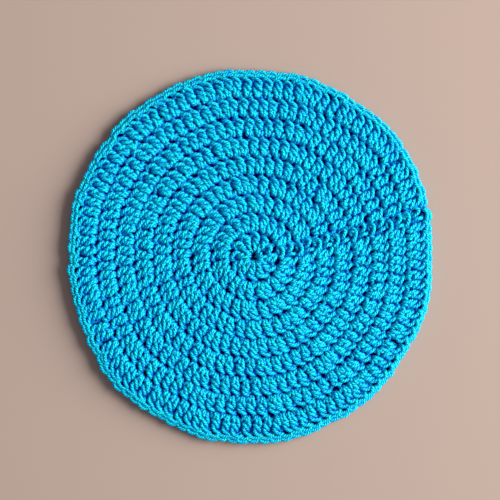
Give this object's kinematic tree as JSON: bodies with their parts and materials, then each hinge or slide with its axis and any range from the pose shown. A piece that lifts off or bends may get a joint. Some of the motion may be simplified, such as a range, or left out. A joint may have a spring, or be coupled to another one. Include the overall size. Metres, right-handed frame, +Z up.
{
  "type": "crocheted round coaster",
  "caption": "Round crocheted coaster or small table mat that lies flat under a cup, bowl or vase, with ribbed rounds of stitches and a looped edge",
  "frame": {"origin": "on the surface the coaster lies on, under the middle of its outline's box", "axes": "+Z up out of the coaster's face; +X towards the side where the rounds are joined; +Y across"},
  "size_m": [0.1714, 0.1768, 0.0067],
  "materials": {
    "yarn": "smooth plied cotton yarn with a soft sheen"
  },
  "bodies": {
    "root": {"mat": "yarn"}
  },
  "joints": []
}
